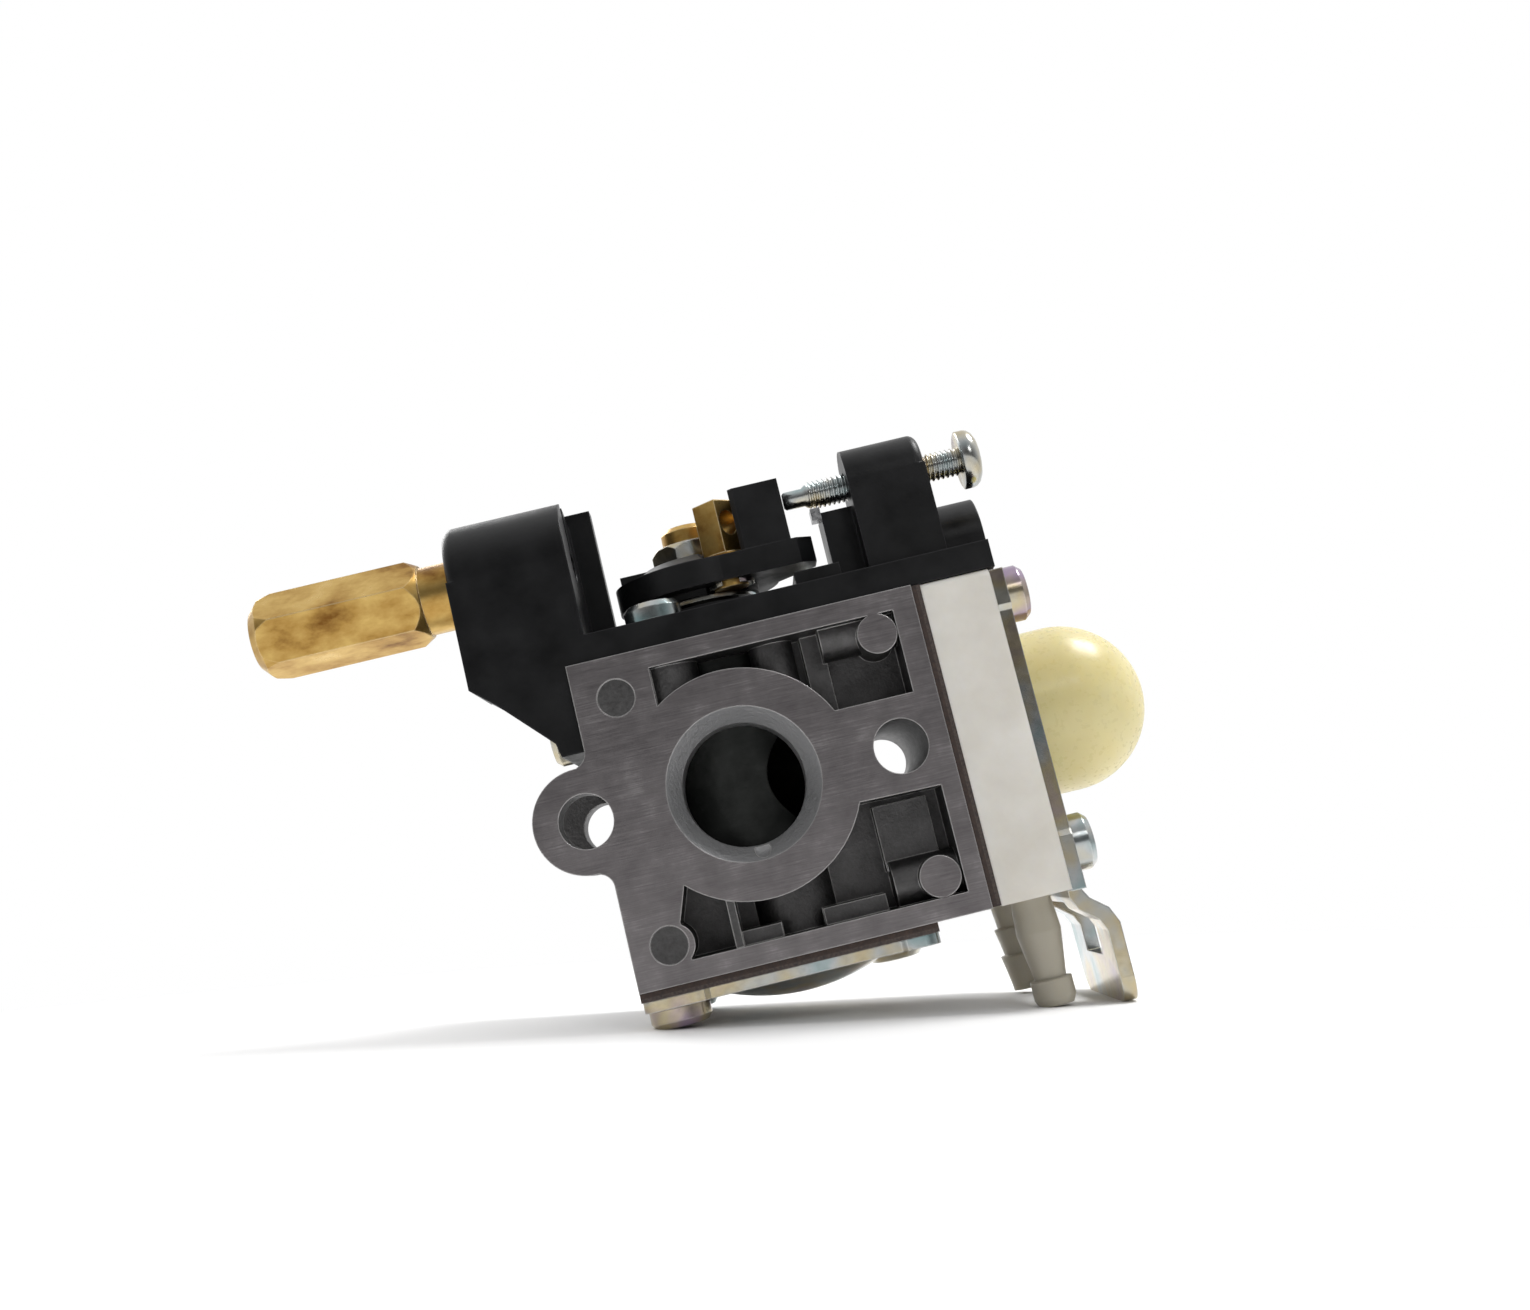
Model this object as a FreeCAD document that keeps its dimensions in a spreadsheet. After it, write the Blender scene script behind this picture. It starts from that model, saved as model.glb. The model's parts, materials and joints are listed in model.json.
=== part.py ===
import FreeCAD, Part

# Carburetor for a small two-stroke engine: a rotary-barrel, diaphragm-type, all-position carburetor.
# Frame: X to the right as seen from the engine, Y from the engine flange towards the air cleaner, Z up.
# The origin is the centre of the bore on the engine flange. All sizes are in millimetres.
# The throttle barrel stands in a vertical bore that crosses the air passage. The black bracket on top holds the
# cable adjuster and the idle screw. The fuel pump, the primer base and its bulb are on the right side, and the
# metering chamber is underneath.
import math
import os
import re

import Sketcher
from FreeCAD import Placement, Rotation, Vector

DIMENSIONS = [
    # body casting
    ("side_left", 14.2, "bore axis to the body's left side"),
    ("side_right", 20.2, "bore axis to the body's right side"),
    ("body_top", 15.0, "bore axis to the body's top face"),
    ("body_low", 17.0, "bore axis to the body's underside"),
    ("depth", 26.0, "engine flange to air cleaner flange"),
    ("bore_rad", 6.0, "air passage"),
    ("mouth_rad", 7.5, "chamfered mouth of the air passage"),
    ("boss_rad", 11.2, "round land around the air passage"),
    ("bolt_half", 15.5, "half of the distance between the mounting bolts"),
    ("bolt_rad", 2.65, "mounting bolt hole"),
    ("ear_rad", 5.15, "outside of the mounting ears"),
    ("ear_thick", 4.0, "thickness of each mounting ear"),
    ("pocket_deep", 6.2, "depth of the cored pockets in the flange"),
    # throttle
    ("barrel_y", 13.0, "flange to the barrel's axis"),
    ("barrel_rad", 8.0, "throttle barrel"),
    ("run_gap", 0.06, "radial running clearance"),
    ("barrel_low", 8.6, "bore axis to the barrel's foot"),
    ("barrel_high", 13.3, "bore axis to the barrel's shoulder"),
    ("stem_rad", 4.0, "barrel stem"),
    ("stud_rad", 2.0, "threaded end of the stem"),
    ("open_deg", 66.0, "turn from idle to full throttle"),
    ("spring_mean", 5.3, "centre line of the return spring's turns"),
    ("spring_wire", 0.42, "radius of the return spring's wire"),
    ("lever_rad", 8.5, "hub of the lever"),
    ("lever_low", 20.6, "underside of the lever"),
    ("lever_high", 23.2, "top of the lever's plate"),
    ("lever_boss", 24.4, "top of the lever's boss"),
    ("nut_high", 26.4, "top of the lever nut"),
    ("cap_high", 28.4, "top of the needle screw"),
    ("cable_y", 7.4, "flange to the throttle cable's axis"),
    ("cable_z", 25.9, "bore axis to the throttle cable's axis"),
    ("swivel_x", 3.4, "swivel's axis at idle"),
    ("swivel_rad", 2.1, "cable swivel"),
    # bracket
    ("plate_high", 17.8, "top of the bracket's plate"),
    ("inset", 0.8, "bracket set back from the flange faces"),
    ("over_right", 28.8, "right end of the bracket"),
    ("holder_left", 23.9, "left end of the cable holder"),
    ("holder_right", 11.8, "right end of the cable holder"),
    ("holder_rad", 6.6, "rounded top of the cable holder"),
    ("thread_rad", 3.0, "adjuster thread"),
    ("idle_y", 7.0, "flange to the idle screw's axis"),
    ("idle_z", 27.4, "bore axis to the idle screw's axis"),
    ("idle_rad", 1.45, "idle screw thread"),
    ("idle_boss", 3.7, "rounded top of the idle screw's boss"),
    ("idle_left", 17.1, "left end of the idle screw's boss"),
    ("idle_right", 25.1, "right end of the idle screw's boss"),
    ("idle_tip", 10.5, "tip of the idle screw"),
    # pump and primer side
    ("gasket", 0.5, "gasket thickness"),
    ("film", 0.4, "diaphragm thickness"),
    ("base_thick", 6.9, "primer base thickness"),
    ("sheet", 1.4, "steel retainer thickness"),
    ("bulb_z", 0.6, "height of the primer bulb's axis"),
    ("bulb_rad", 8.6, "outside of the primer bulb"),
    ("bulb_wall", 1.2, "wall of the primer bulb"),
    ("bulb_neck", 4.4, "straight part of the bulb outside the retainer"),
    ("fitting_near", 4.4, "flange to the near hose fitting"),
    ("fitting_far", 21.6, "flange to the far hose fitting"),
    ("fitting_x", 24.5, "bore axis to the hose fittings"),
    ("corner_up", 12.3, "upper retainer screws"),
    ("corner_down", 12.9, "lower retainer screws"),
    ("corner_y", 4.0, "retainer screws from the flange faces"),
    ("screw_rad", 1.6, "shank of the cover screws"),
    # metering side
    ("cover_right", 14.8, "right end of the metering cover"),
    ("cover_sheet", 1.1, "metering cover thickness"),
    ("dome_rad", 9.4, "edge of the metering cover's dome"),
    ("dome_deep", 2.2, "depth of the metering cover's dome"),
    ("dome_x", 1.5, "centre of the dome"),
    ("chamber_rad", 7.5, "metering chamber"),
    ("chamber_y", 15.4, "flange to the metering chamber's centre"),
    ("chamber_deep", 2.6, "depth of the metering chamber"),
]

doc = FreeCAD.newDocument("carburetor")
sheet = doc.addObject("Spreadsheet::Sheet", "dims")
for row, (alias, value, meaning) in enumerate(DIMENSIONS, start=1):
    sheet.set(f"A{row}", meaning)
    sheet.set(f"B{row}", str(value))
    sheet.setAlias(f"B{row}", alias)
doc.recompute()
size = {alias: float(sheet.get(alias)) for alias, _, _ in DIMENSIONS}
ALIAS = re.compile(r"\b(" + "|".join(size) + r")\b")

TURN = {
    "z": Rotation(),
    "-z": Rotation(Vector(1, 0, 0), 180),
    "x": Rotation(Vector(0, 1, 0), 90),
    "-x": Rotation(Vector(0, 1, 0), -90),
    "y": Rotation(Vector(1, 0, 0), -90),
    "-y": Rotation(Vector(1, 0, 0), 90),
}
nodes = []
counter = {"made": 0}
scratch = doc.addObject("App::FeaturePython", "scratch")
scratch.addProperty("App::PropertyFloat", "value")


# ---------------------------------------------------------------- helpers


def bind(obj, prop, text):
    """Ties a property to an expression of the spreadsheet's aliases."""
    obj.setExpression(prop, ALIAS.sub(r"dims.\1", str(text)))


def fresh(kind, label=None):
    """A new document object; one with a label becomes a sub-part of the carburetor."""
    counter["made"] += 1
    obj = doc.addObject(kind, f"item{counter['made']}")
    if label:
        obj.Label = label
        nodes.append(obj)
    return obj


def put(obj, spot, along="z", spin=0.0):
    """Places obj at spot, with its own Z axis turned to lie along the named direction."""
    obj.Placement = Placement(Vector(), TURN[along] * Rotation(Vector(0, 0, 1), spin))
    for letter, text in zip("xyz", spot):
        bind(obj, f"Placement.Base.{letter}", text)
    return obj


def box(low, extent, label=None):
    obj = fresh("Part::Box", label)
    for prop, text in zip(("Length", "Width", "Height"), extent):
        bind(obj, prop, text)
    return put(obj, low)


def rod(spot, radius, length, along="z", label=None):
    obj = fresh("Part::Cylinder", label)
    bind(obj, "Radius", radius)
    bind(obj, "Height", length)
    return put(obj, spot, along)


def cone(spot, radius, end_radius, length, along="z"):
    obj = fresh("Part::Cone")
    bind(obj, "Radius1", radius)
    bind(obj, "Radius2", end_radius)
    bind(obj, "Height", length)
    return put(obj, spot, along)


def hexagon(spot, across_flats, length, along="z", spin=0.0):
    obj = fresh("Part::Prism")
    obj.Polygon = 6
    bind(obj, "Circumradius", f"({across_flats}) / sqrt(3)")
    bind(obj, "Height", length)
    return put(obj, spot, along, spin)


def fuse(parts, label=None):
    obj = fresh("Part::MultiFuse", label)
    obj.Shapes = parts
    obj.Refine = True
    return obj


def common(first, second, label=None):
    obj = fresh("Part::MultiCommon", label)
    obj.Shapes = [first, second]
    return obj


def cut(base, tools, label=None):
    obj = fresh("Part::Cut", label)
    obj.Base = base
    obj.Tool = tools[0] if len(tools) == 1 else fuse(tools)
    obj.Refine = True
    return obj


def cut_in_turn(base, tools, label=None):
    """Cuts the tools away one after another, for a casting whose holes meet one another."""
    for tool in tools[:-1]:
        step = fresh("Part::Cut")
        step.Base, step.Tool = base, tool
        base = step
    return cut(base, tools[-1:], label)


def rounded(base, radius, chosen, label=None):
    """Fillets the edges of base for which chosen(edge) is true."""
    doc.recompute()
    obj = fresh("Part::Fillet", label)
    obj.Base = base
    picked = [i for i, edge in enumerate(base.Shape.Edges, start=1) if chosen(edge)]
    obj.Edges = [(i, radius, radius) for i in picked]
    return obj


def plane_of(body, role):
    return next(f for f in body.Origin.OriginFeatures if f.Role == role)


def value_of(text):
    """The number that an expression of the spreadsheet's aliases gives."""
    bind(scratch, "value", text)
    scratch.recompute()
    return scratch.value


def sketch_on(body, role, outline):
    """A closed sketch of straight edges on one of the body's own planes; outline holds (u, v) expressions."""
    sketch = body.newObject("Sketcher::SketchObject", f"sketch{counter['made']}")
    sketch.AttachmentSupport = [(plane_of(body, role), "")]
    sketch.MapMode = "FlatFace"
    points = [Vector(value_of(u), value_of(v), 0) for u, v in outline]
    for start, end in zip(points, points[1:] + points[:1]):
        sketch.addGeometry(Part.LineSegment(start, end))
    for i, (u, v) in enumerate(outline):
        sketch.addConstraint(Sketcher.Constraint("Coincident", i, 2, (i + 1) % len(outline), 1))
        across = sketch.addConstraint(Sketcher.Constraint("DistanceX", -1, 1, i, 1, points[i].x))
        bind(sketch, f"Constraints[{across}]", u)
        upward = sketch.addConstraint(Sketcher.Constraint("DistanceY", -1, 1, i, 1, points[i].y))
        bind(sketch, f"Constraints[{upward}]", v)
    return sketch


def padded(role, outline, length, label=None, reverse=False):
    """A PartDesign body: one sketched outline, padded."""
    body = fresh("PartDesign::Body", label)
    sketch = sketch_on(body, role, outline)
    pad = body.newObject("PartDesign::Pad", f"pad{counter['made']}")
    pad.Profile = sketch
    bind(pad, "Length", length)
    pad.Reversed = reverse
    return body


def turned(profile, spot, along="z", label=None):
    """A PartDesign body turned about its own Z axis from a (radius, height) outline, then placed."""
    body = fresh("PartDesign::Body", label)
    sketch = sketch_on(body, "XZ_Plane", profile)
    spin = body.newObject("PartDesign::Revolution", f"spin{counter['made']}")
    spin.Profile = sketch
    spin.ReferenceAxis = (sketch, ["V_Axis"])
    spin.Angle = 360
    return put(body, spot, along)


def feature(shape, label=None, spot=Vector(), turn=Rotation()):
    """A Part::Feature, for what neither a sketch nor a primitive makes."""
    obj = fresh("Part::Feature", label)
    obj.Shape = shape
    obj.Placement = Placement(spot, turn)
    return obj


def pan_screw(spot, along, head_rad, head_high, shank_rad, shank):
    """A pan-head screw. spot is under the head, and along points from the head's seat outwards."""
    rim = 0.45
    dome = 0.7
    profile = [
        (0, f"-({shank})"),
        (f"{shank_rad} - 0.3", f"-({shank})"),
        (f"{shank_rad}", f"-({shank}) + 0.5"),
        (f"{shank_rad}", 0),
        (f"{head_rad}", 0),
        (f"{head_rad}", f"{head_high} - {dome}"),
        (f"{head_rad} - {rim}", f"{head_high} - 0.15"),
        (f"{head_rad} - 1.3", f"{head_high}"),
        (0, f"{head_high}"),
    ]
    return turned(profile, spot, along)


def cross_recess(spot, along, wide=0.9, span=3.2, deep=1.1):
    """The cross slot in a screw head; spot is on the head's top face, and along points outwards."""
    blades = []
    for long_side, short_side in ((span, wide), (wide, span)):
        blade = fresh("Part::Box")
        blade.Length, blade.Width, blade.Height = long_side, short_side, deep + 0.5
        turn = TURN[along]
        corner = turn.multVec(Vector(-long_side / 2, -short_side / 2, -deep))
        blade.Placement = Placement(Vector(), turn)
        for letter, text, shift in zip("xyz", spot, corner):
            bind(blade, f"Placement.Base.{letter}", f"{text} + {shift:.4f}")
        blades.append(blade)
    return blades


def screws(label, seats, along, head_rad, head_high, shank_rad, shank):
    """A set of equal pan-head screws as one sub-part. seats are the points under the heads."""
    made = []
    axis = TURN[along].multVec(Vector(0, 0, 1))
    for seat in seats:
        screw = pan_screw(seat, along, head_rad, head_high, shank_rad, shank)
        top = [f"{text} + {head_high * part:.4f}" for text, part in zip(seat, axis)]
        made.append(cut(screw, cross_recess(top, along)))
    if len(made) == 1:
        made[0].Label = label
        nodes.append(made[0])
        return made[0]
    group = fresh("Part::Compound", label)
    group.Links = made
    return group


def coil(mean_rad, wire_rad, pitch, turns, label, spot):
    """A helical spring of round wire about Z."""
    path = Part.makeHelix(pitch, pitch * turns, mean_rad)
    ring = Part.Circle(Vector(mean_rad, 0, 0), Vector(0, 1, pitch / (2 * math.pi * mean_rad)), wire_rad)
    wire = Part.Wire([ring.toShape()])
    solid = Part.Wire(path.Edges).makePipeShell([wire], True, True)
    return feature(solid, label, spot)


# ---------------------------------------------------------------- body casting


def body_casting():
    block = box(("-side_left", 0, "-body_low"), ("side_left + side_right", "depth", "body_low + body_top"))
    parts = [block]
    for start in ("0", "depth - ear_thick"):
        ear = rod(("-bolt_half", start, 0), "ear_rad", "ear_thick", "y")
        web = box(("-bolt_half", start, "-ear_rad"), ("4", "ear_thick", "2 * ear_rad"))
        shoulder = box(("-side_left - 1.1", start, "-ear_rad - 1.4"), ("2", "ear_thick", "2 * ear_rad + 2.8"))
        hollows = [
            rod(("-side_left - 1.5", f"{start} - 1", f"{sign} * (ear_rad + 1.5)"), "1.5", "ear_thick + 2", "y")
            for sign in (-1, 1)
        ]
        parts += [ear, web, cut(shoulder, hollows)]
    solid = fuse(parts)

    pockets = [flange_pocket_top(), flange_pocket_low()] + rear_pockets()
    lug_holes = [
        rod((f"{side} * bolt_half", -1, 0), "bolt_rad", "depth + 2", "y") for side in (-1, 1)
    ]
    passage = rod((0, -1, 0), "bore_rad", "depth + 2", "y")
    mouth = cone((0, -0.01, 0), "mouth_rad", "bore_rad", "1.8", "y")
    intake = cone((0, "depth + 0.01", 0), "bore_rad + 1.0", "bore_rad", "1.4", "-y")
    well = rod((0, "barrel_y", "-barrel_low - 0.4"), "barrel_rad + run_gap", "body_top + barrel_low + 1")
    nozzle_hole = rod((0, "barrel_y", "-body_low - 0.1"), "1.5", "body_low")
    chamber = rod((0, "chamber_y", "-body_low - 0.1"), "chamber_rad", "chamber_deep + 0.1")
    posts = [box((0.8, f"chamber_y + {y}", "-body_low + 0.5"), (1.6, 1.2, 3)) for y in (-2.6, 1.4)]
    posts = cut(fuse(posts), [rod((1.6, "chamber_y - 3", "-body_low + 1.3"), "0.42", "6", "y")])
    chamber = cut(chamber, [posts])
    needle_hole = rod((5.0, "chamber_y", "-body_low"), "1.7", "7.2")
    spring_hole = rod((-3.4, "chamber_y", "-body_low"), "1.6", "6.0")
    plug_seat = rod((-1.2, 20.4, "-body_low"), "1.9", "chamber_deep + 1.0")
    holes = [lug_holes[0], lug_holes[1], passage, mouth, intake, well, nozzle_hole, chamber]
    holes += [needle_hole, spring_hole, plug_seat]
    holes += [rod((x, y, "body_top - 9"), "1.7", "10") for x, y in BRACKET_SCREWS]
    holes += [rod(("-side_left - 1", SIDE_SCREW_Y, SIDE_SCREW_Z), "1.5", "6", "x")]
    holes += [rod(("side_right - 8", y, z), "screw_rad", "9", "x") for y, z in retainer_corners()]
    holes += [rod((x, y, "-body_low - 1"), "screw_rad", "8") for x, y in COVER_SCREWS]
    holes += [rod(("side_right - 1.2", "barrel_y", z), "4.6", "2", "x") for z in (5.4, -5.4)]
    holes += [rod((x, -1, z), "1.85", "1.08", "y") for x, z in ((-10.1, 10.9), (-10.4, -13.2))]
    holes += [rod((0.3, -1, "-bore_rad - 0.5"), "0.8", "2.6", "y")]
    return cut_in_turn(solid, pockets + holes, "carburetor_body")


BRACKET_SCREWS = [(-4.9, 3.9), (-4.9, 22.2), (10.6, 22.0)]
COVER_SCREWS = [(-11.0, 3.7), (-11.0, 22.3), (11.6, 22.3)]
SIDE_SCREW_Y = 12.0
SIDE_SCREW_Z = 9.4


def retainer_corners():
    return [
        (y, z) for y in ("corner_y", "depth - corner_y") for z in ("corner_up", "-corner_down")
    ]


def flange_pocket_top():
    """The cored pocket above the bore in the engine flange, with the casting's bosses left standing in it."""
    outline = [("-6.4", "13.0"), ("17.9", "13.0"), ("17.9", "4.8"), ("0", "4.8"), ("-6.4", "8.6")]
    pocket = padded("XZ_Plane", outline, "pocket_deep", reverse=True)
    land = rod((0, -1, 0), "boss_rad", "20", "y")
    ejector = rod((15.9, -1, 11.1), "1.95", "20", "y")
    screw_boss = rod((-4.9, 3.9, 0), "3.1", "20")
    stem_boss = rod((5.6, 4.9, 0), "2.2", "20")
    rib = rod((10.4, "corner_y", "corner_up"), "2.4", "8", "x")
    floor = box((8.6, 4.4, 4), (2.2, 8, 9.4))
    return cut(pocket, [land, ejector, screw_boss, stem_boss, rib, floor])


def flange_pocket_low():
    """The cored pockets below and to the right of the bore in the engine flange."""
    outline = [
        ("-7.4", "-7.0"),
        ("9.2", "-4.3"),
        ("18.3", "-4.5"),
        ("18.3", "-14.9"),
        ("-8.6", "-15.0"),
        ("-8.9", "-11.3"),
    ]
    pocket = padded("XZ_Plane", outline, "pocket_deep", reverse=True)
    land = rod((0, -1, 0), "boss_rad", "20", "y")
    left_pin = rod((-10.0, -1, -13.3), "2.05", "20", "y")
    right_pin = rod((16.1, -1, -12.9), "2.0", "20", "y")
    pin_rib = rod((11.8, "corner_y", "-corner_down"), "2.4", "7", "x")
    web = box((-4.3, 0.5, -16), (0.8, 9, 6))
    step = box((-3.6, 1.6, -16), (4.0, 9, 2.4))
    shelf = box((4.6, 2.4, -16), (6.2, 8, 2.7))
    nozzle_boss = rod((2.2, 8.2, -17), "4.4", "8")
    back = box((11.6, 4.2, -11.4), (5.4, 8, 6.4))
    return cut(pocket, [land, left_pin, right_pin, pin_rib, web, step, shelf, nozzle_boss, back])


def rear_pockets():
    """Two cored pockets in the air cleaner flange."""
    low = box((3.0, "depth - 3.2", -14.6), (14.6, 5, 5.4))
    high = box((-10.4, "depth - 2.6", 8.8), (9.6, 5, 4.4))
    land = rod((0, "depth - 9", 0), "9.4", "12", "y")
    screw_boss = [rod((x, y, -17), "2.9", "34") for x, y in BRACKET_SCREWS[1:] + COVER_SCREWS[2:]]
    return [cut(fuse([low, high]), [land] + screw_boss)]


# ---------------------------------------------------------------- bracket on top


def bracket():
    plate = box(("-side_left", "inset", "body_top"),
                ("side_left + over_right", "depth - 2 * inset", "plate_high - body_top"))
    collar = rod((0, "barrel_y", "body_top"), "7.6", "plate_high - body_top + 1.0")
    pad = box((9.6, 2.6, "body_top"), (4.6, 8.6, "plate_high - body_top + 1.5"))
    rear_rail = box((-1.5, 22.6, "body_top"), (8.6, 1.9, "plate_high - body_top + 1.0"))
    solid = fuse([plate, collar, pad, rear_rail] + cable_holder() + idle_tower())
    cuts = [
        rod((0, "barrel_y", 10), "stem_rad + run_gap", "20"),
        rod((0, "barrel_y", "body_top + 1.4"), "6.6", "10"),
        rod(("-holder_left - 1", "cable_y", "cable_z"), "thread_rad + run_gap", "9.4", "x"),
        rod(("-holder_left + 5", "cable_y", "cable_z"), "1.6", "14", "x"),
        box(("-holder_right - 2.6", "cable_y - 0.9", "cable_z"), (6, 1.8, 12)),
        rod(("idle_left - 8", "idle_y", "idle_z"), "idle_rad + run_gap", "20", "x"),
        rod(("-side_left - 8", SIDE_SCREW_Y, SIDE_SCREW_Z), "1.7", "12", "x"),
        rod((27.4, 15.5, 20.6), "2.3", "8", "x"),
    ]
    cuts += [rod((x, y, 10), "1.7", "10") for x, y in BRACKET_SCREWS]
    return cut(solid, cuts, "throttle_bracket")


def cable_holder():
    """The block that holds the cable adjuster, with its rear wall and the leg down the body's left side."""
    width = "2 * holder_rad"
    front = "cable_y - holder_rad"
    run = "holder_left - holder_right"
    barrel = rod(("-holder_left", "cable_y", "cable_z"), "holder_rad", run, "x")
    doc.recompute()
    barrel = rounded(
        barrel, 1.0, lambda e: e.Length > 10 and abs(e.BoundBox.XMax + size["holder_left"]) < 0.01)
    block = box(("-holder_left", front, "body_top"), (run, width, "cable_z - body_top"))
    outline = [
        ("-holder_left", "body_top"),
        ("-21.5", "12.9"),
        ("-16.8", "8.0"),
        ("-16.5", "6.6"),
        ("-side_left", "6.6"),
        ("-side_left", "body_top"),
        ("-holder_right", "body_top"),
        ("-holder_right", "plate_high"),
        ("-holder_left", "plate_high"),
    ]
    gusset = padded("XZ_Plane", outline, "6.4")
    gusset.Placement = Placement(Vector(0, size["cable_y"] - size["holder_rad"] + 6.4, 0), Rotation())
    bind(gusset, "Placement.Base.y", "cable_y - holder_rad + 6.4")
    leg = box(("-16.5", "6", "6.6"), ("16.5 - side_left", "11.4", "plate_high - 6.6"))
    wall = box(("-holder_left", "cable_y + holder_rad - 2.4", "body_top"),
               ("holder_left - 9.3", "2.4", "32.3 - body_top"))
    return [barrel, block, gusset, leg, wall]


def idle_tower():
    """The boss that holds the idle screw, its gusset and the lower boss behind it."""
    run = "idle_right - idle_left"
    crown = rod(("idle_left", "idle_y", "idle_z"), "idle_boss", run, "x")
    doc.recompute()
    crown = rounded(crown, 0.9, lambda e: e.Length > 10 and abs(e.BoundBox.XMin - size["idle_right"]) < 0.01)
    column = box(("idle_left", "idle_y - idle_boss", "body_top"), (run, "2 * idle_boss", "idle_z - body_top"))
    foot = box(("13.9", "idle_y - 0.6", "body_top"), ("idle_right - 13.9", "6", "25.3 - body_top"))
    low = rod(("idle_right - 2", "15.5", "20.6"), "4.2", "7.4", "x")
    low_block = box(("idle_right - 2", "11.3", "body_top"), ("7.4", "8.4", "20.6 - body_top"))
    web = box(("18", "11", "body_top"), ("6", "3", "6.4"))
    return [crown, column, foot, low, low_block, web]


# ---------------------------------------------------------------- throttle


def barrel():
    drum = rod((0, "barrel_y", "-barrel_low"), "barrel_rad", "barrel_low + barrel_high")
    stem = rod((0, "barrel_y", "barrel_high"), "stem_rad", "lever_low - barrel_high")
    stud = rod((0, "barrel_y", "lever_low"), "stud_rad", "nut_high - lever_low + 0.2")
    port = fresh("Part::Cylinder")
    bind(port, "Radius", "bore_rad")
    bind(port, "Height", "30")
    angle = size["open_deg"]
    port.Placement = Placement(Vector(), Rotation(Vector(0, 0, 1), angle) * TURN["y"])
    bind(port, "Placement.Base.x", "15 * sin(open_deg * 1deg)")
    bind(port, "Placement.Base.y", "barrel_y - 15 * cos(open_deg * 1deg)")
    foot_hole = rod((0, "barrel_y", "-barrel_low - 1"), "1.7", "6")
    needle_hole = rod((0, "barrel_y", 0), "1.0", "40")
    return cut(fuse([drum, stem, stud]), [port, foot_hole, needle_hole], "throttle_barrel")


def lever():
    """The throttle lever: a round hub, an arm to the right and the upright block that meets the idle screw."""
    disc = rod((0, "barrel_y", "lever_low"), "lever_rad", "lever_high - lever_low")
    arm_outline = [
        ("0", "0.4 - lever_rad"),
        ("10.8", "-7.9"),
        ("12.4", "-6.6"),
        ("12.4", "-3.4"),
        ("7.4", "1.6"),
        ("0", "3"),
    ]
    arm = put(padded("XY_Plane", arm_outline, "lever_high - lever_low"), (0, "barrel_y", "lever_low"))
    crown = cone((0, "barrel_y", "lever_high"), "7.6", "5.2", "lever_boss - lever_high")
    heel = box((-7.6, "barrel_y - 3.4", "lever_high"), (3.2, 4.2, 0.9))
    block_outline = [
        ("4.4", "-6.9"),
        ("5.6", "-7.9"),
        ("10.3", "-7.9"),
        ("10.3", "-3.4"),
        ("6.6", "-3.4"),
        ("4.4", "-5.4"),
    ]
    block = put(padded("XY_Plane", block_outline, "29.6 - lever_low"), (0, "barrel_y", "lever_low"))
    skirt = rod((0, "barrel_y", "lever_low - 0.7"), "6.2", "1.2")
    cuts = [
        rod((0, "barrel_y", 0), "stud_rad", "40"),
        rod((0, "barrel_y", 0), "stem_rad", "lever_low"),
        rod(("swivel_x", "cable_y", 0), "swivel_rad + run_gap", "40"),
        rod(("swivel_x", "cable_y", "lever_high"), "2.6", "10"),
        rod(("swivel_x", "cable_y", "lever_low - 3"), "2.6", "3"),
    ]
    return cut(fuse([disc, arm, crown, heel, block, skirt]), cuts, "throttle_lever")


def lever_nut():
    nut = hexagon((0, "barrel_y", "lever_boss"), "7.0", "nut_high - lever_boss", spin=10.5)
    crown = cone((0, "barrel_y", "lever_boss - 4"), "8.2", "3.55", "nut_high - lever_boss + 4")
    return cut(common(nut, crown), [rod((0, "barrel_y", 0), "stud_rad", "40")], "lever_nut")


def needle_screw():
    """The brass needle holder on top of the stem, and the tapered needle that hangs from it into the jet."""
    profile = [
        (0, "-barrel_low + 2.4"),
        ("0.35", "-barrel_low + 2.4"),
        ("0.75", "bore_rad"),
        ("0.75", "barrel_high - 3"),
        ("1.0", "barrel_high - 3"),
        ("1.0", "nut_high + 0.2"),
        ("2.6", "nut_high + 0.2"),
        ("2.6", "cap_high - 0.5"),
        ("2.1", "cap_high"),
        (0, "cap_high"),
    ]
    screw = turned(profile, (0, "barrel_y", 0))
    slot = box((-4, "barrel_y - 0.4", "cap_high - 0.8"), (8, 0.8, 2))
    return cut(screw, [slot], "needle_screw")


def swivel():
    profile = [
        (0, "lever_low - 0.65"),
        ("swivel_rad - 0.3", "lever_low - 0.65"),
        ("swivel_rad - 0.3", "lever_low + 0.2"),
        ("swivel_rad", "lever_low + 0.5"),
        ("swivel_rad", "lever_high + 0.3"),
        (0, "lever_high + 0.3"),
    ]
    pin = turned(profile, ("swivel_x", "cable_y", 0))
    head = fresh("Part::Prism")
    head.Polygon = 4
    bind(head, "Circumradius", "swivel_rad")
    bind(head, "Height", "29.0 - lever_high")
    put(head, ("swivel_x", "cable_y", "lever_high"), spin=5)
    hole = rod((0, 0, 0), "1.3", "12", "y")
    aim = Rotation(Vector(0, 0, 1), -40) * TURN["x"]
    reach = aim.multVec(Vector(0, 0, -6))
    hole.Placement = Placement(Vector(), aim)
    bind(hole, "Placement.Base.x", f"swivel_x + {reach.x:.4f}")
    bind(hole, "Placement.Base.y", f"cable_y + {reach.y:.4f}")
    bind(hole, "Placement.Base.z", "26.6")
    return cut(fuse([pin, head]), [hole], "cable_swivel")


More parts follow.
